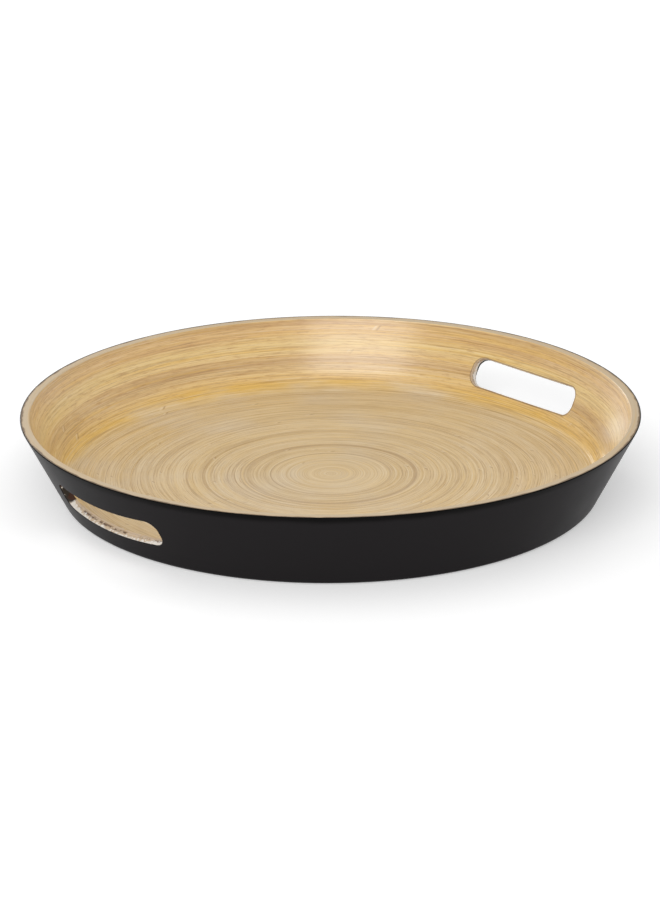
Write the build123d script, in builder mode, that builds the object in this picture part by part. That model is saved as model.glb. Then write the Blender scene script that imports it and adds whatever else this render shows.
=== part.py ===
"""Round serving tray of spun bamboo, with a flared wall and two hand slots.

Strips of bamboo stand on edge and are wound round the centre, one strip after another. The inner
strips lie flat as the floor; the outer ones are telescoped upwards as the wall. Each strip makes
several turns and is modelled as the ring that those turns fill. The outside is lacquered black.

The origin is the centre of the underside, +Z is up and the hand slots are on the X axis.
"""

from build123d import *
from math import cos, pi, radians, sin, sqrt, tan
import os

os.makedirs("parts", exist_ok=True)

# Overall sizes, in millimetres and degrees
rim_radius = 190.0
tray_height = 50.0
side_lean = radians(26.7)    # from upright, the same inside and outside

# Wall and floor
rim_width = 5.6              # wood and lacquer together, across the flat top
rim_rounding = 0.4           # outer edge of the rim
floor_thickness = 6.5
foot_rounding = 4.0
well_rounding = 12.4         # between the floor and the inside of the wall
lacquer_thickness = 0.4

# Strips
floor_strip_count = 20
wall_strip_count = 6

# Hand slots
slot_length = 92.5
slot_width = 19.0            # measured along the slant of the wall
slot_rounding = 7.5
slot_height = 22.5           # centre of the slot above the underside
cutter_clearance = 5.0       # how far the slot's cutter stands out of the wall

# Side: how far it runs outwards for each millimetre of height, and the corners that its straight
# line would make with the top and the underside if they weren't rounded
side_run = tan(side_lean)
corner_half_angle = (pi / 2 - side_lean) / 2
rim_corner_radius = rim_radius + rim_rounding / tan(corner_half_angle) - rim_rounding
foot_radius = rim_corner_radius - tray_height * side_run
underside_radius = foot_radius - foot_rounding * tan(corner_half_angle)

# Wood inside the lacquer, and the well inside the wood
lacquer_width = lacquer_thickness / cos(side_lean)
wood_corner_radius = rim_corner_radius - lacquer_width
wood_foot_radius = foot_radius - lacquer_width + lacquer_thickness * side_run
wood_foot_rounding = foot_rounding - lacquer_thickness
well_rim_radius = rim_radius - rim_width
well_floor_radius = well_rim_radius - (tray_height - floor_thickness) * side_run

# Middle of the wall at the slots, and how far the slot's ends lie inside it on the round wall
slot_radius = (foot_radius + well_floor_radius - floor_thickness * side_run) / 2 + slot_height * side_run
slot_sagitta = slot_radius - sqrt(slot_radius**2 - (slot_length / 2) ** 2)
slot_reach = slot_sagitta + slot_width * side_run + rim_width + cutter_clearance


def round_tub(bottom, bottom_radius, top_radius, lower_rounding, upper_rounding=0):
    """Solid of revolution from the height bottom up to the rim, with rounded corners."""
    with BuildPart() as tub:
        with BuildSketch(Plane.XZ) as section:
            with BuildLine():
                Polyline(
                    (0, bottom),
                    (bottom_radius, bottom),
                    (top_radius, tray_height),
                    (0, tray_height),
                    close=True,
                )
            make_face()
            lower_corner = section.vertices().group_by(Axis.Y)[0].sort_by(Axis.X)[-1]
            fillet(lower_corner, radius=lower_rounding)
            if upper_rounding > 0:
                upper_corner = section.vertices().group_by(Axis.Y)[-1].sort_by(Axis.X)[-1]
                fillet(upper_corner, radius=upper_rounding)
        revolve(axis=Axis.Z)
    return tub.part


def slot_cutter(side):
    """Long rounded plug square to the wall, on the +X side (1) or the -X side (-1)."""
    square_to_wall = Plane(
        origin=(side * slot_radius, 0, slot_height),
        x_dir=(0, side, 0),
        z_dir=(side * cos(side_lean), 0, -sin(side_lean)),
    )
    with BuildPart() as cutter:
        with BuildSketch(square_to_wall):
            RectangleRounded(slot_length, slot_width, slot_rounding)
        extrude(amount=slot_reach, both=True)
    return cutter.part


def strip_radii(start_radius, end_radius, count):
    """Radii that share a disc or a ring out among strips of one length and one thickness."""
    share = (end_radius**2 - start_radius**2) / count
    return [sqrt(start_radius**2 + share * number) for number in range(count + 1)]


def wound_strip(name, inner_radius, outer_radius):
    """The turns of one strip: the wood between two upright cylinders."""
    with BuildPart() as strip:
        with BuildSketch():
            Circle(outer_radius)
            if inner_radius > 0:
                Circle(inner_radius, mode=Mode.SUBTRACT)
        extrude(amount=tray_height)
        add(wood.part, mode=Mode.INTERSECT)
    strip.part.label = name
    export_step(strip.part, f"parts/{name}.step")


slots = [slot_cutter(1), slot_cutter(-1)]
outer_shape = round_tub(0, foot_radius, rim_corner_radius, foot_rounding, rim_rounding)
wood_shape = round_tub(
    lacquer_thickness, wood_foot_radius, wood_corner_radius, wood_foot_rounding, rim_rounding
)
well_shape = round_tub(floor_thickness, well_floor_radius, well_rim_radius, well_rounding)

# All the wood together: the shape that the wound strips are sanded and routed to
with BuildPart() as wood:
    add(wood_shape)
    add(well_shape, mode=Mode.SUBTRACT)
    add(slots, mode=Mode.SUBTRACT)

# Floor strips, from the centre out to where the side starts
floor_radii = strip_radii(0, foot_radius, floor_strip_count)
for number in range(1, floor_strip_count + 1):
    wound_strip(f"floor_strip_{number:02d}", floor_radii[number - 1], floor_radii[number])

# Wall strips, from there out to the rim
wall_radii = strip_radii(foot_radius, wood_corner_radius, wall_strip_count)
for number in range(1, wall_strip_count + 1):
    wound_strip(f"wall_strip_{number}", wall_radii[number - 1], wall_radii[number])

# Black lacquer on the flat of the underside
with BuildPart() as base_lacquer:
    with BuildSketch():
        Circle(underside_radius)
    extrude(amount=lacquer_thickness)
base_lacquer.part.label = "base_lacquer"
export_step(base_lacquer.part, "parts/base_lacquer.step")

# Black lacquer on the outside of the wall, from the edge of the underside to the rim
with BuildPart() as side_lacquer:
    add(outer_shape)
    add(wood_shape, mode=Mode.SUBTRACT)
    add(base_lacquer.part, mode=Mode.SUBTRACT)
    add(slots, mode=Mode.SUBTRACT)
side_lacquer.part.label = "side_lacquer"
export_step(side_lacquer.part, "parts/side_lacquer.step")
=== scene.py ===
import math

import bpy
import numpy as np
from mathutils import Matrix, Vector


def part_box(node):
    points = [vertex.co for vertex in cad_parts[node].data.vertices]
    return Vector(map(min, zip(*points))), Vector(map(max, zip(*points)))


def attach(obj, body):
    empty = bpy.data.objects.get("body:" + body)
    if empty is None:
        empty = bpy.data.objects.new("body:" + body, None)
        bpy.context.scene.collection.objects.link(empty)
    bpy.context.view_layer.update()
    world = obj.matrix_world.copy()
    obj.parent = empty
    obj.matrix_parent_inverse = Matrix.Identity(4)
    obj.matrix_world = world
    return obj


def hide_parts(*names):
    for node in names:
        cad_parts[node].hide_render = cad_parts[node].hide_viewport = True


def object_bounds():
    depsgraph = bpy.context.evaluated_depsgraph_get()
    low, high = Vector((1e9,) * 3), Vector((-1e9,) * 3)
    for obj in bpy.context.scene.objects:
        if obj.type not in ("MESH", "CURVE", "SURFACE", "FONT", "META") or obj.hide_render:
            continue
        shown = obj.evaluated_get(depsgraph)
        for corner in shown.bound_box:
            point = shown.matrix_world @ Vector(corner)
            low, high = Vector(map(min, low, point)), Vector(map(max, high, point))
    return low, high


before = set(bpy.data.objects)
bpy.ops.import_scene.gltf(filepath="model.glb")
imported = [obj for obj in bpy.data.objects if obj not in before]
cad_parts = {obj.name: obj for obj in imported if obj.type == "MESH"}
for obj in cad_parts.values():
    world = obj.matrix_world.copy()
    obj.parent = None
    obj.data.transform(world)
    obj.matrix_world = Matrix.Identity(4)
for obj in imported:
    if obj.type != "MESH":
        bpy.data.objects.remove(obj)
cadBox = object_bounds()

# Metres throughout. The tray stands on z = 0 round the Z axis, with its hand slots on X.
# r is the distance from the axis, and every size that the frame has is read from it.
tray = {
    "sideLean": math.radians(26.7),   # from upright, inside and outside
    "footRounding": 0.0040,
    "wellRounding": 0.0124,
    "rimRounding": 0.0004,            # outer edge
    "rimSanding": 0.0005,             # inner edge, worn by the sanding
    "rimWidth": 0.0056,
    "stripThickness": 0.0015,         # one turn of the winding
}
sideRun = math.tan(tray["sideLean"])
cornerHalfAngle = (math.pi / 2 - tray["sideLean"]) / 2
rimRadius = min(cadBox[1][0], cadBox[1][1])
rimHeight = cadBox[1][2]
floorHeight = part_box("floor_strip_01")[1].z
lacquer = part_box("base_lacquer")[1].z
cornerCut = tray["rimRounding"] / math.tan(cornerHalfAngle) - tray["rimRounding"]
rimCorner = rimRadius + cornerCut                        # where side and top would meet
footRadius = rimCorner - rimHeight * sideRun             # where side and underside would meet
undersideRadius = footRadius - tray["footRounding"] * math.tan(cornerHalfAngle)
lacquerWidth = lacquer / math.cos(tray["sideLean"])
woodRadius = rimRadius - lacquerWidth
wellRim = rimRadius - tray["rimWidth"]
wellCorner = wellRim - (rimHeight - floorHeight) * sideRun
wellFlat = wellCorner - tray["wellRounding"] * math.tan(cornerHalfAngle)

slot = {
    "length": 0.0925,
    "width": 0.0190,        # along the slant of the wall
    "rounding": 0.0075,
    "height": 0.0225,       # its centre above the underside
    "roughness": 0.00016,   # how far the cutter wandered
}
slotRadius = (footRadius + wellCorner - floorHeight * sideRun) / 2 + slot["height"] * sideRun


def wellTop(r):
    # height of the inside at r: flat, then a round corner, then the straight slope, then the flat rim,
    # whose two edges are blended over a small distance
    sweep = np.clip((r - wellFlat) / tray["wellRounding"], 0, math.cos(tray["sideLean"]))
    corner = floorHeight + tray["wellRounding"] * (1 - np.sqrt(1 - sweep**2))
    slope = rimHeight - (wellRim - r) / sideRun
    cornerEnd = wellFlat + tray["wellRounding"] * math.cos(tray["sideLean"])
    inside = np.where(r > cornerEnd, slope, corner)
    # smooth lower one of the slope and the rim's plane
    soft = tray["rimSanding"]
    gap = np.clip(0.5 + 0.5 * (rimHeight - inside) / soft, 0, 1)
    top = rimHeight * (1 - gap) + inside * gap - soft * gap * (1 - gap)
    over = np.clip(r - (woodRadius - tray["rimRounding"]), 0, tray["rimRounding"])
    return top - tray["rimRounding"] + np.sqrt(tray["rimRounding"] ** 2 - over**2)


def sideHeight(r, inset):
    # height of the outside at r, or of the surface that lies inset inside it: the flat of the
    # underside, then a round corner, then the straight side
    rounding = tray["footRounding"] - inset
    sweep = np.clip((r - undersideRadius) / rounding, 0, math.cos(tray["sideLean"]))
    corner = inset + rounding * (1 - np.sqrt(1 - sweep**2))
    slope = (r - footRadius + inset / math.cos(tray["sideLean"])) / sideRun
    cornerEnd = undersideRadius + rounding * math.cos(tray["sideLean"])
    return np.where(r > cornerEnd, slope, corner)


def putMesh(name, points, quads, closers=()):
    # points is (n, 3), quads is (m, 4) and closers are the longer faces that close the ends
    mesh = bpy.data.meshes.new(name)
    sizes = np.concatenate([np.full(len(quads), 4), [len(c) for c in closers]]).astype(np.int32)
    corners = np.concatenate([quads.ravel(), *closers]).astype(np.int32)
    mesh.vertices.add(len(points))
    mesh.vertices.foreach_set("co", points.astype(np.float32).ravel())
    mesh.loops.add(len(corners))
    mesh.loops.foreach_set("vertex_index", corners)
    mesh.polygons.add(len(sizes))
    starts = np.concatenate([[0], np.cumsum(sizes)[:-1]]).astype(np.int32)
    mesh.polygons.foreach_set("loop_start", starts)
    mesh.update(calc_edges=True)
    piece = bpy.data.objects.new(name, mesh)
    bpy.context.scene.collection.objects.link(piece)
    return piece


def gridQuads(rows, columns, wrapRows, wrapColumns):
    # faces of a grid of rows x columns points, closed round in either direction where asked
    i = np.arange(rows if wrapRows else rows - 1)[:, None]
    j = np.arange(columns if wrapColumns else columns - 1)[None, :]
    nextI, nextJ = (i + 1) % rows, (j + 1) % columns
    quads = [i * columns + j, nextI * columns + j, nextI * columns + nextJ, i * columns + nextJ]
    return np.stack(np.broadcast_arrays(*quads), -1).reshape(-1, 4)


def finishPiece(piece, material, nodes, sharpAngle=30):
    mesh = piece.data
    mesh.materials.clear()
    mesh.materials.append(material)
    mesh.polygons.foreach_set("use_smooth", np.ones(len(mesh.polygons), bool))
    mesh.set_sharp_from_angle(angle=math.radians(sharpAngle))
    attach(piece, "root")
    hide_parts(*nodes)
    return piece


# Hand slots: one cutter for both, a rounded plug square to the wall on each side
def slotCutter(name, growth, roughness, seed):
    # the outline is a rounded rectangle, walked at even steps; growth moves it outwards and
    # roughness adds a small wave that changes along the outline and through the wall
    outlineSteps, depthSteps = 720, 24
    halfLength = slot["length"] / 2 - slot["rounding"]
    halfWidth = slot["width"] / 2 - slot["rounding"]
    t = np.linspace(0, 2 * math.pi, outlineSteps, endpoint=False)
    # straight runs take their share of the steps
    straight = 2 * (halfLength + halfWidth)
    around = 2 * math.pi * slot["rounding"]
    total = 2 * straight + around
    walked = t / (2 * math.pi) * total
    legs = [2 * halfWidth, around / 4, 2 * halfLength, around / 4] * 2
    starts = np.concatenate([[0], np.cumsum(legs)[:-1]])
    leg = np.searchsorted(starts, walked, side="right") - 1
    along = walked - starts[leg]
    quarter = leg // 2
    turning = np.where(leg % 2 == 1, along / slot["rounding"], 0) + quarter * math.pi / 2
    cornerSignsA = np.array([1, -1, -1, 1])[quarter]
    cornerSignsB = np.array([1, 1, -1, -1])[quarter]
    straightLeg = leg % 2 == 0
    offset = along - np.array(legs)[leg]
    alongSigns = np.array([[0, 1], [-1, 0], [0, -1], [1, 0]])[quarter]
    centreA = cornerSignsA * halfLength + np.where(straightLeg, alongSigns[:, 0] * offset, 0)
    centreB = cornerSignsB * halfWidth + np.where(straightLeg, alongSigns[:, 1] * offset, 0)
    random = np.random.default_rng(seed)
    depth = np.linspace(-0.026, 0.026, depthSteps)[:, None]
    wave = np.zeros((depthSteps, outlineSteps))
    for length in (0.0008, 0.0019, 0.0047):
        phase = random.uniform(0, 2 * math.pi, 3)
        drift = 2 * np.sin(depth / 0.0011 + phase[1])
        swing = np.sin(walked * 2 * math.pi / length + phase[0] + drift)
        wave += swing * np.sin(walked * 2 * math.pi / (7.3 * length) + phase[2]) / 3
    reach = slot["rounding"] + growth + roughness * wave
    a = centreA + reach * np.cos(turning)
    b = centreB + reach * np.sin(turning)
    c = np.broadcast_to(depth, a.shape)
    lean = tray["sideLean"]
    x = slotRadius + b * math.sin(lean) + c * math.cos(lean)
    z = slot["height"] + b * math.cos(lean) - c * math.sin(lean)
    sides = []
    for side in (1, -1):
        sides.append(np.stack([side * x, side * a, z], -1).reshape(-1, 3))
    quads = gridQuads(depthSteps, outlineSteps, False, True)
    first, last = np.arange(outlineSteps), (depthSteps - 1) * outlineSteps + np.arange(outlineSteps)
    count = depthSteps * outlineSteps
    closers = [first[::-1], last, first[::-1] + count, last + count]
    quads = np.concatenate([quads, quads + count])[:, ::-1]
    return putMesh(name, np.concatenate(sides), quads, closers)


def cutSlots(piece, cutter):
    cut = piece.modifiers.new("handSlots", "BOOLEAN")
    cut.operation = "DIFFERENCE"
    cut.solver = "MANIFOLD"
    cut.object = cutter
    shown = bpy.context.evaluated_depsgraph_get()
    mesh = bpy.data.meshes.new_from_object(piece.evaluated_get(shown), depsgraph=shown)
    piece.modifiers.remove(cut)
    old = piece.data
    piece.data = mesh
    bpy.data.meshes.remove(old)
    mesh.name = piece.name


# Strips: the winding is one spiral, r = thickness x turns, shared out among the strips
winding = {
    "stepsPerTurn": 360,
    "floorAcross": (0, 0.06, 0.16, 0.5, 0.84, 0.94, 1),
    "wallAcross": (0, 0.05, 0.12, 0.24, 0.37, 0.5, 0.63, 0.76, 0.88, 0.95, 1),
    "floorGroove": 0.00006,
    "wallGroove": 0.00003,
    "grooveWidth": 0.00012,
    "proud": 0.00003,          # how far one turn stands above or below the next
}


def stripBody(name, firstRadius, lastRadius, across, grooveDepth, seed):
    # a section of the strip at each step of the spiral: it spans half a thickness each side of
    # the middle line r = thickness x angle / full turn, from the side's surface up to the well's,
    # with its top edges rounded down into a groove and the whole lifted by two slow waves
    thickness = tray["stripThickness"]
    step = 2 * math.pi / winding["stepsPerTurn"]
    firstStep = round(firstRadius / thickness * winding["stepsPerTurn"])
    lastStep = round(lastRadius / thickness * winding["stepsPerTurn"])
    angle = np.arange(firstStep, lastStep + 1)[:, None] * step
    middle = thickness * angle / (2 * math.pi)
    inner = np.clip(middle - thickness / 2, 0, woodRadius - 0.0002)
    outer = np.clip(middle + thickness / 2, 0.0001, woodRadius)
    u = np.array(across)[None, :]
    r = inner + u * (outer - inner)
    edge = np.minimum(u, 1 - u) * thickness
    groove = grooveDepth * np.exp(-((edge / winding["grooveWidth"]) ** 2))
    run = math.pi * thickness * (angle / (2 * math.pi)) ** 2
    phase = np.random.default_rng(seed).uniform(0, 2 * math.pi, 3)
    lift = (np.sin(run / 0.043 + phase[0]) + np.sin(run / 0.117 + phase[1])) / 2
    drop = groove + winding["proud"] * (1 - lift) / 2
    top = wellTop(r) - drop
    under = sideHeight(r[:, [0, -1]], lacquer)
    under = np.minimum(under, top[:, [0, -1]] - 0.00005)
    radii = np.concatenate([r, r[:, [-1, 0]]], 1)
    heights = np.concatenate([top, under[:, [1, 0]]], 1)
    points = np.stack([radii * np.cos(angle), radii * np.sin(angle), heights], -1)
    rows, columns = radii.shape
    quads = gridQuads(rows, columns, False, True)
    first, last = np.arange(columns), (rows - 1) * columns + np.arange(columns)
    return putMesh(name, points.reshape(-1, 3), quads[:, ::-1], [first[::-1], last])


class Wire:
    # a value or colour on its way through a material's nodes
    def __init__(self, tree, socket=None):
        self.tree, self.socket = tree, socket

    def node(self, kind, settings=None, inputs=None, output=0):
        made = self.tree.nodes.new(kind)
        for name, value in (settings or {}).items():
            if name == "stops":
                ramp = made.color_ramp
                while len(ramp.elements) < len(value):
                    ramp.elements.new(0.5)
                for element, (place, colour) in zip(ramp.elements, value):
                    element.position, element.color = place, colour
            else:
                setattr(made, name, value)
        for name, value in (inputs or {}).items():
            if isinstance(value, Wire):
                self.tree.links.new(value.socket, made.inputs[name])
            else:
                made.inputs[name].default_value = value
        return Wire(self.tree, made.outputs[output] if len(made.outputs) else None)

    def math(self, operation, *values):
        return self.node("ShaderNodeMath", {"operation": operation}, dict(enumerate(values)))

    def __add__(self, other):
        return self.math("ADD", self, other)

    def __radd__(self, other):
        return self.math("ADD", other, self)

    def __sub__(self, other):
        return self.math("SUBTRACT", self, other)

    def __rsub__(self, other):
        return self.math("SUBTRACT", other, self)

    def __mul__(self, other):
        return self.math("MULTIPLY", self, other)

    def __rmul__(self, other):
        return self.math("MULTIPLY", other, self)

    def __truediv__(self, other):
        return self.math("DIVIDE", self, other)

    def __rtruediv__(self, other):
        return self.math("DIVIDE", other, self)

    def __pow__(self, other):
        return self.math("POWER", self, other)

    def __abs__(self):
        return self.math("ABSOLUTE", self)

    def floor(self):
        return self.math("FLOOR", self)

    def fraction(self):
        return self.math("FRACT", self)

    def clamped(self):
        return self.node("ShaderNodeClamp", None, {0: self})

    def ramp(self, low, high):
        # 0 at low, 1 at high, eased between
        settings = {"interpolation_type": "SMOOTHSTEP"}
        return self.node("ShaderNodeMapRange", settings, {0: self, 1: low, 2: high})

    def bump(self, centre, width):
        # 1 at centre, falling to 0 at width from it
        return 1 - abs(self - centre).ramp(0, width)

    def mixed(self, factor, other):
        # this colour turned to the other one by factor
        settings = {"data_type": "RGBA"}
        return self.node("ShaderNodeMix", settings, {0: factor, 6: self, 7: other}, output=2)


def linear(red, green, blue):
    # screen values from 0 to 255 to a shader's colour
    share = np.array([red, green, blue]) / 255
    low, high = share / 12.92, ((share + 0.055) / 1.055) ** 2.4
    return (*np.where(share <= 0.04045, low, high), 1.0)


def newMaterial(name):
    material = bpy.data.materials.new(name)
    material.use_nodes = True
    material.node_tree.nodes.clear()
    return material, Wire(material.node_tree)


def closeMaterial(wire, inputs):
    shader = wire.node("ShaderNodeBsdfPrincipled", None, inputs)
    wire.node("ShaderNodeOutputMaterial", None, {"Surface": shader})


def xyz(wire):
    place = wire.node("ShaderNodeTexCoord", output="Object")
    return [place.node("ShaderNodeSeparateXYZ", None, {0: place}, output=k) for k in range(3)]


def noise(wire, x, y, z, scale, detail=2.0, roughness=0.5):
    place = wire.node("ShaderNodeCombineXYZ", None, {0: x, 1: y, 2: z})
    inputs = {"Vector": place, "Scale": scale, "Detail": detail, "Roughness": roughness}
    return wire.node("ShaderNodeTexNoise", {"noise_dimensions": "3D"}, inputs)


def chance(wire, value):
    # a number from 0 to 1 that is fixed for each whole value
    return wire.node("ShaderNodeTexWhiteNoise", {"noise_dimensions": "1D"}, {"W": value})


bamboo = {
    "straw": (213, 189, 149),
    "pale": (233, 214, 182),
    "honey": (234, 190, 88),
    "tan": (222, 177, 103),
    "wallStrawBounceWarmed": (240, 211, 147),
    "wallBands": ((0.0450, 0.0060, (212, 163, 96), 0.50), (0.0345, 0.0070, (238, 208, 128), 0.45),
                  (0.0230, 0.0065, (202, 167, 110), 0.45)),       # height, reach, colour, depth
    "brown": (146, 108, 72),
    "wallBrown": (168, 118, 62),
    "sandedRim": (202, 185, 160),
    "rimStain": (112, 92, 72),
    "cutFace": (205, 184, 158),
    "filler": (235, 231, 224),
    "pitAndEdgeShade": (74, 44, 30),
    "overspray": (22, 20, 20),
    "stripLength": 2.85,
    "knotSpacing": 0.41,
    "darkTurns": ((0.0369, 0.0013, 0.45), (0.0527, 0.0026, 0.5),
                  (0.0790, 0.0020, 0.2), (0.1125, 0.0020, 0.22)),  # radius, reach, depth
    "slotEdgeShade": 0.0012,          # how far from a slot its edge is darkened with painted shade
    # how fine each part of the grain is, per metre
    "grain": {"fibre": 1300, "streak": 420, "band": 210, "cloud": 13, "hair": 2600, "dash": 1500},
    "tornScale": 420,          # torn fibres of the cut faces
    "clumpScale": 110,
    "roughness": 0.42,
    "coat": 1.0,
    "coatRoughness": 0.25,
    "coatRefraction": 1.7,
    "specular": 0.2,
}


def slotDistance(x, y, z, r):
    # distance outside the slots' rounded outline, in the plane square to their axis; the height up
    # the wall from the slots' middle; and the depth in the round wall, positive outwards
    lean = tray["sideLean"]
    outwards, upwards = abs(x) - slotRadius, z - slot["height"]
    b = outwards * math.sin(lean) + upwards * math.cos(lean)
    depth = (r - slotRadius) * math.cos(lean) - upwards * math.sin(lean)
    overA = abs(y) - (slot["length"] / 2 - slot["rounding"])
    overB = abs(b) - (slot["width"] / 2 - slot["rounding"])
    overA0, overB0 = overA.math("MAXIMUM", overA, 0), overB.math("MAXIMUM", overB, 0)
    corner = overA.math("SQRT", overA0 * overA0 + overB0 * overB0)
    inside = overA.math("MINIMUM", overA.math("MAXIMUM", overA, overB), 0)
    return corner + inside - slot["rounding"], b, depth


def bambooMaterial():
    material, wire = newMaterial("spunBamboo")
    x, y, z = xyz(wire)
    r = wire.math("SQRT", x * x + y * y)
    thickness = tray["stripThickness"]
    lap = wire.math("ARCTAN2", y, x) / (2 * math.pi)
    turn = r / thickness + 0.5 - lap
    across = turn.fraction()                              # 0 to 1 over one thickness
    wound = lap + turn.floor()                            # turns from the start
    run = wound * wound * (math.pi * thickness)           # metres along the winding
    stripLuck = chance(wire, (run / bamboo["stripLength"]).floor())
    turnLuck = chance(wire, turn.floor() + 0.5)
    onWall = z.ramp(floorHeight + 0.0010, floorHeight + 0.011)

    # grain runs along the strips: slow along the run, quick across it
    grain = bamboo["grain"]
    fibre = noise(wire, run * 0.012, r, z, grain["fibre"], 3.0, 0.6)
    streak = noise(wire, run * 0.008, r, z * 0.8, grain["streak"], 2.0)
    band = noise(wire, x * 0.05, y * 0.05, r + z * 0.6, grain["band"], 1.5)
    cloud = noise(wire, x, y, z, grain["cloud"], 2.0)
    calm = r.ramp(0.020, 0.050) * 0.6 + 0.4               # the middle of the floor is plainer

    def named(name):
        return linear(*bamboo[name])

    lightness = (stripLuck * 0.35 + cloud * 0.7 + (band - 0.5) * calm * 0.6 - 0.08).clamped()
    base = wire.node("ShaderNodeMix", {"data_type": "RGBA"},
                     {0: lightness, 6: named("straw"), 7: named("pale")}, output=2)
    # the wall is painted warmer and yellower than the floor: partly the wood's own tone, partly painted
    # bounce light between the walls
    wallTone = (turnLuck * 0.5 + streak * 1.1 - 0.35).clamped()
    base = base.mixed(onWall, wire.node("ShaderNodeMix", {"data_type": "RGBA"},
                      {0: wallTone, 6: named("wallStrawBounceWarmed"), 7: named("tan")}, output=2))
    for bandHeight, reach, tone, share in bamboo["wallBands"]:
        drift = z + (noise(wire, x, y, run * 0.1, 9, 1.0) - 0.5) * 0.012
        base = base.mixed(drift.bump(bandHeight, reach) * onWall * share, linear(*tone))
    patches = noise(wire, x, y, z * 4, 19, 2.0).ramp(0.25, 0.6)
    golden = z.bump(floorHeight + 0.0045, 0.0075) * patches
    base = base.mixed(golden * 0.85, named("honey"))
    goldenStreak = noise(wire, run * 0.02, r, z, 260, 2.0).ramp(0.50, 0.68)
    base = base.mixed(goldenStreak * (0.18 + onWall * 0.4), named("honey"))
    base = base.mixed(turnLuck.ramp(0.6, 1.0) * (0.10 + onWall * 0.12), named("brown"))
    base = base.mixed(streak.ramp(0.56, 0.78) * calm * 0.34, named("brown"))
    hair = noise(wire, run * 0.02, r, z, grain["hair"], 1.0)
    dash = noise(wire, run * 0.07, r, z, grain["dash"], 2.0, 0.65)
    base = base.mixed((fibre * 0.7 + hair * 0.3).ramp(0.47, 0.70) * calm * 0.52, named("brown"))
    paleFibre = (1 - fibre * 0.7 - hair * 0.3).ramp(0.48, 0.70)
    base = base.mixed(paleFibre * (0.7 - onWall * 0.3), named("pale"))
    base = base.mixed(dash.ramp(0.50, 0.72) * (1 - onWall) * calm * 0.18, named("brown"))
    base = base.mixed(dash.ramp(0.50, 0.72) * onWall * 0.5, named("wallBrown"))
    base = base.mixed((1 - dash).ramp(0.55, 0.75) * 0.18, named("pale"))
    for place, width, share in bamboo["darkTurns"]:
        darkTurn = r.bump(place, width) * (1 - onWall) * share
        base = base.mixed(darkTurn * streak.ramp(0.3, 0.6), named("brown"))

    # glue lines between the turns, open here and closed there
    seam = 1 - across.math("MINIMUM", across, 1 - across).ramp(0.0, 0.11)
    glue = seam * noise(wire, run * 0.4, turnLuck, 0.0, 30, 2.0).ramp(0.42, 0.68)
    base = base.mixed(glue * 0.42, named("brown"))

    # nodes of the cane: a short dark tick with a pale one beside it
    knotPlace = (run / bamboo["knotSpacing"] + stripLuck * 7 + across * 0.006).fraction()
    some = noise(wire, x, y, z, 31, 0.0).ramp(0.5, 0.6)
    base = base.mixed(knotPlace.bump(0.5, 0.0035) * some * 0.5, named("brown"))
    base = base.mixed(knotPlace.bump(0.506, 0.004) * some * 0.5, named("pale"))

    # the rim is sanded bare, and stained by the black where it meets it
    rim = z.ramp(rimHeight - 0.0005, rimHeight - 0.00025)
    base = base.mixed(rim * 0.85, named("sandedRim"))
    base = base.mixed(rim * fibre.ramp(0.48, 0.7) * 0.4, named("tan"))
    wavering = (noise(wire, x, y, z, 90, 3.0) - 0.5) * 0.0028
    stain = (r + wavering).ramp(woodRadius - 0.0015, woodRadius - 0.0006)
    base = base.mixed(stain * rim * 0.85, named("rimStain"))

    # raw cut faces of the hand slots: torn fibres, filler, glue pits and black overspray
    beyond, upward, depth = slotDistance(x, y, z, r)
    cut = 1 - beyond.ramp(0.00025, 0.0005)
    torn = noise(wire, x, y, z, bamboo["tornScale"], 3.0, 0.7)
    clumps = noise(wire, x, y, z, bamboo["clumpScale"], 2.0)
    onRight = x.ramp(-0.01, 0.01)
    base = base.mixed(cut, named("cutFace"))
    base = base.mixed(cut * torn.ramp(0.5, 0.7) * 0.5, named("tan"))
    base = base.mixed(cut * seam * 0.6, named("brown"))
    pits = depth.bump(-0.0004, 0.0016) * (torn * 0.5 + clumps * 0.5).ramp(0.48, 0.56)
    base = base.mixed(cut * pits * 0.9, named("pitAndEdgeShade"))
    low = 1 - upward.ramp(-0.0085, -0.006)
    chips = (depth + (torn - 0.5) * 0.011 + abs(y).ramp(0.018, 0.044) * 0.0018).ramp(0.0011, 0.0019)
    filled = cut * low.math("MAXIMUM", low, onRight) * chips
    base = base.mixed(filled * (0.55 + torn * 0.5), named("filler"))
    farEnd = (y + (clumps - 0.5) * 0.016 + upward * 0.35).ramp(0.0385, 0.0420) * (1 - onRight)
    misted = (depth + upward * 0.12 + (torn - 0.5) * 0.0014).ramp(0.0013, 0.0018) * (1 - low)
    base = base.mixed(cut * misted.math("MAXIMUM", misted, farEnd) * 0.95, named("overspray"))
    base = base.mixed(cut * farEnd * clumps.ramp(0.5, 0.56) * 0.7, named("pitAndEdgeShade"))
    base = base.mixed(cut * farEnd * torn.ramp(0.62, 0.67) * 0.8, named("filler"))
    # painted shade: a thin dark line on the inside face round each slot, in the pit brown, stands in for
    # the shaded cut face
    paintedSlotEdgeShade = (1 - beyond.ramp(bamboo["slotEdgeShade"] / 3, bamboo["slotEdgeShade"])) * (1 - cut) * (1 - rim)
    base = base.mixed(paintedSlotEdgeShade * (0.5 + torn * 0.6), named("pitAndEdgeShade"))
    bare = rim.math("MAXIMUM", rim, cut)

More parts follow.
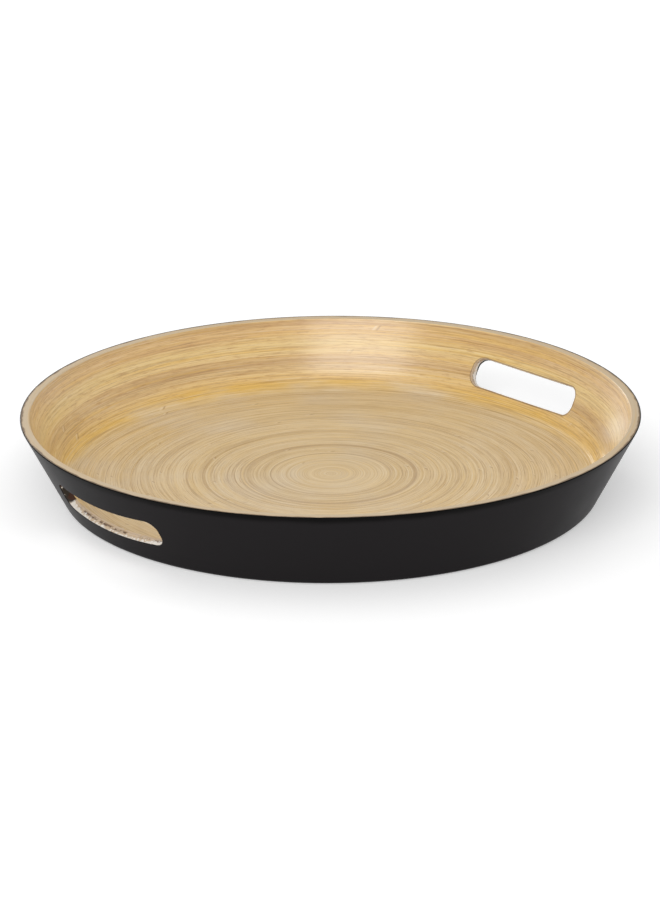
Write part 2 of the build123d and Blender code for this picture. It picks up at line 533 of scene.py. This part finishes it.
    upWall = z.ramp(floorHeight + 0.004, floorHeight + 0.015)    # the clear coat is thin on the floor
    relief = fibre * 0.6 + noise(wire, run * 0.05, r, z, 3000, 2.0) * 0.4 + cut * torn * 2
    bumped = wire.node("ShaderNodeBump", None, {"Strength": 0.3, "Distance": 0.0002, "Height": relief})
    closeMaterial(wire, {
        "Base Color": base,
        "Roughness": bamboo["roughness"] + bare * 0.25 + (fibre - 0.5) * 0.15,
        "Coat Weight": bamboo["coat"] * (1 - bare) * (0.15 + upWall * 0.85),
        "Specular IOR Level": bamboo["specular"],
        "Coat Roughness": bamboo["coatRoughness"],
        "Coat IOR": bamboo["coatRefraction"],
        "Normal": bumped,
    })
    return material


blackCoat = {
    # the darker black of the painted dark reflection band under the rim
    "dark": (14, 13, 13),
    "black": (32, 30, 31),
    "paintedReflectionBand": 0.0055,       # painted dark reflection: how far under the rim the black is painted darker
    "roughness": 0.34,
    "refraction": 1.09,
    "steps": 720,
}


def lacquerMaterial():
    material, wire = newMaterial("blackLacquer")
    x, y, z = xyz(wire)
    r = wire.math("SQRT", x * x + y * y)
    cloud = noise(wire, x, y, z, 40, 3.0)
    dust = noise(wire, x, y, z, 900, 2.0)
    # painted dark reflection: a band under the rim is mixed towards the darker black
    low = (rimHeight - z + (cloud - 0.5) * 0.003).ramp(0.0015, blackCoat["paintedReflectionBand"])
    base = wire.node("ShaderNodeMix", {"data_type": "RGBA"},
                     {0: low, 6: linear(*blackCoat["dark"]), 7: linear(*blackCoat["black"])}, output=2)
    height = noise(wire, x * 0.2, y * 0.2, r * 2, 900, 2.0) * 0.6 + dust * 0.4
    bumped = wire.node("ShaderNodeBump", None, {"Strength": 0.12, "Distance": 0.0002, "Height": height})
    closeMaterial(wire, {
        "Base Color": base,
        "Roughness": blackCoat["roughness"] + (cloud - 0.5) * 0.12,
        "IOR": blackCoat["refraction"],
        "Normal": bumped,
    })
    return material


def turned(profileR, profileZ, angle):
    # a profile of radii and heights carried round the axis: x = r cos angle, y = r sin angle
    x, y = profileR * np.cos(angle), profileR * np.sin(angle)
    return np.stack(np.broadcast_arrays(x, y, profileZ + 0 * angle), -1)


def lacquerSide(name):
    # a closed shell turned round the axis: down the outside from the rim to the underside's edge,
    # then up the inside against the wood
    t = np.linspace(0, 1, 60)
    rounding = tray["rimRounding"]
    edgeAngle = np.linspace(math.pi / 2, -tray["sideLean"], 7)
    edgeR = rimRadius - rounding + rounding * np.cos(edgeAngle)
    edgeZ = rimHeight - rounding + rounding * np.sin(edgeAngle)
    footTurn = np.linspace(0, 1, 10)
    footAngle = -tray["sideLean"] + footTurn * (tray["sideLean"] - math.pi / 2)
    footR = undersideRadius + tray["footRounding"] * np.cos(footAngle)
    footZ = tray["footRounding"] + tray["footRounding"] * np.sin(footAngle)
    sideR = edgeR[-1] + t[1:-1] * (footR[0] - edgeR[-1])
    sideZ = edgeZ[-1] + t[1:-1] * (footZ[0] - edgeZ[-1])
    outR = np.concatenate([edgeR, sideR, footR])
    outZ = np.concatenate([edgeZ, sideZ, footZ])
    inR = np.array([undersideRadius, *(undersideRadius + (tray["footRounding"] - lacquer)
                    * np.cos(footAngle[::-1][2::3])), edgeR[0] - lacquerWidth * 0.6, edgeR[0] - 0.0001])
    inZ = np.array([lacquer, *(tray["footRounding"] + (tray["footRounding"] - lacquer)
                    * np.sin(footAngle[::-1][2::3])), rimHeight - 0.0006, rimHeight])
    profileR, profileZ = np.concatenate([outR, inR]), np.concatenate([outZ, inZ])
    angle = np.linspace(0, 2 * math.pi, blackCoat["steps"], endpoint=False)[:, None]
    points = turned(profileR, profileZ, angle)
    quads = gridQuads(len(angle), len(profileR), True, True)
    return putMesh(name, points.reshape(-1, 3), quads[:, ::-1])


def lacquerBase(name):
    r = undersideRadius
    ringR = np.concatenate([np.linspace(0.0005, r, 40), np.linspace(r, 0.0005, 4)])
    ringZ = np.concatenate([np.full(40, 0.0), np.full(4, lacquer)])
    angle = np.linspace(0, 2 * math.pi, 360, endpoint=False)[:, None]
    points = turned(ringR, ringZ, angle)
    columns = len(ringR)
    quads = gridQuads(len(angle), columns, True, False)
    lower = np.arange(len(angle)) * columns
    upper = lower + columns - 1
    return putMesh(name, points.reshape(-1, 3), quads, [lower[::-1], upper])


cutterWood = slotCutter("slotCutterWood", 0.0, slot["roughness"], 4)
cutterCoat = slotCutter("slotCutterCoat", 0.0002, slot["roughness"] * 1.8, 9)
bambooFinish = bambooMaterial()
lacquerFinish = lacquerMaterial()
print("cutters shaped and finishes mixed")

stripNodes = sorted(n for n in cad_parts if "strip" in n)
innerRadius = 0.0
for number, node in enumerate(stripNodes, 1):
    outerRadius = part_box(node)[1].y
    onWall = node.startswith("wall")
    across = winding["wallAcross"] if onWall else winding["floorAcross"]
    grooveDepth = winding["wallGroove"] if onWall else winding["floorGroove"]
    if node == stripNodes[-1]:
        outerRadius = woodRadius + tray["stripThickness"] / 2 - 0.0003
    start = innerRadius if number > 1 else -tray["stripThickness"] / 2
    piece = stripBody(node.replace("strip", "winding"), start, outerRadius, across, grooveDepth, number)
    if onWall:
        cutSlots(piece, cutterWood)
    finishPiece(piece, bambooFinish, [node])
    innerRadius = outerRadius
print("strips wound:", len(stripNodes))

side = lacquerSide("side_lacquer_skin")
cutSlots(side, cutterCoat)
finishPiece(side, lacquerFinish, ["side_lacquer"])
finishPiece(lacquerBase("base_lacquer_skin"), lacquerFinish, ["base_lacquer"])
for cutter in (cutterWood, cutterCoat):
    bpy.data.objects.remove(cutter)
print("lacquer on")

studio = {
    "azimuth": -41.2,
    "elevation": 19.73,
    "distance": 1.853,
    "aimHeight": 0.0219,
    "aimShift": -0.0004,
    "roll": -0.38,
    "lens": 120,
    "floorSize": 14,
    "floorDrop": 0.0002,      # below the underside, so that the two don't share a plane
    "floorTone": (235, 235, 235),
    "worldStrength": 0.71,
    "floorGlow": 0.35,
    # azimuth from the camera's own, elevation, distance, width, height, watts
    "keyLight": (-14, 34, 2.2, 1.5, 1.0, 16),
    "backLight": (202, 10, 2.4, 0.6, 0.4, 13),
}


def placeCamera():
    azimuth, elevation = math.radians(studio["azimuth"]), math.radians(studio["elevation"])
    back = np.array([math.sin(azimuth) * math.cos(elevation), -math.cos(azimuth) * math.cos(elevation),
                     math.sin(elevation)])
    right = np.array([math.cos(azimuth), math.sin(azimuth), 0])
    up = np.cross(back, right)
    roll = math.radians(studio["roll"])
    right, up = right * math.cos(roll) + up * math.sin(roll), up * math.cos(roll) - right * math.sin(roll)
    aim = np.array([0, 0, studio["aimHeight"]]) + right * studio["aimShift"]
    data = bpy.data.cameras.new("camera")
    data.lens, data.sensor_width = studio["lens"], 36
    camera = bpy.data.objects.new("camera", data)
    bpy.context.scene.collection.objects.link(camera)
    place = aim + back * studio["distance"]
    matrix = np.eye(4)
    matrix[:3, 0], matrix[:3, 1], matrix[:3, 2], matrix[:3, 3] = right, up, back, place
    camera.matrix_world = Matrix(matrix)
    bpy.context.scene.camera = camera


def softbox(name, azimuth, elevation, distance, width, height, power):
    # a rectangular lamp that looks at the middle of the tray; azimuth is from the camera's own
    data = bpy.data.lights.new(name, "AREA")
    data.shape, data.size, data.size_y = "RECTANGLE", width, height
    data.energy = power
    lamp = bpy.data.objects.new(name, data)
    bpy.context.scene.collection.objects.link(lamp)
    a, e = math.radians(studio["azimuth"] + azimuth), math.radians(elevation)
    back = np.array([math.sin(a) * math.cos(e), -math.cos(a) * math.cos(e), math.sin(e)])
    right = np.array([math.cos(a), math.sin(a), 0])
    matrix = np.eye(4)
    matrix[:3, 0], matrix[:3, 1], matrix[:3, 2] = right, np.cross(back, right), back
    matrix[:3, 3] = back * distance + np.array([0, 0, 0.02])
    lamp.matrix_world = Matrix(matrix)


def plainFloor():
    half = studio["floorSize"] / 2
    corners = [[-half, -half], [half, -half], [half, half], [-half, half]]
    points = np.array([[x, y, -studio["floorDrop"]] for x, y in corners])
    floor = putMesh("studio_floor", points, np.array([[0, 1, 2, 3]]))
    material, wire = newMaterial("paleFloor")
    closeMaterial(wire, {
        "Base Color": linear(*studio["floorTone"]),
        "Roughness": 0.9,
        "Specular IOR Level": 0.1,
        "Emission Color": (1, 1, 1, 1),
        "Emission Strength": studio["floorGlow"],
    })
    floor.data.materials.append(material)


placeCamera()
plainFloor()
for lampName in ("keyLight", "backLight"):
    softbox(lampName, *studio[lampName])
world = bpy.data.worlds.new("studioAir")
world.use_nodes = True
world.node_tree.nodes["Background"].inputs["Color"].default_value = (1, 1, 1, 1)
world.node_tree.nodes["Background"].inputs["Strength"].default_value = studio["worldStrength"]
bpy.context.scene.world = world
bpy.context.scene.view_settings.view_transform = "Standard"
print("studio lit")
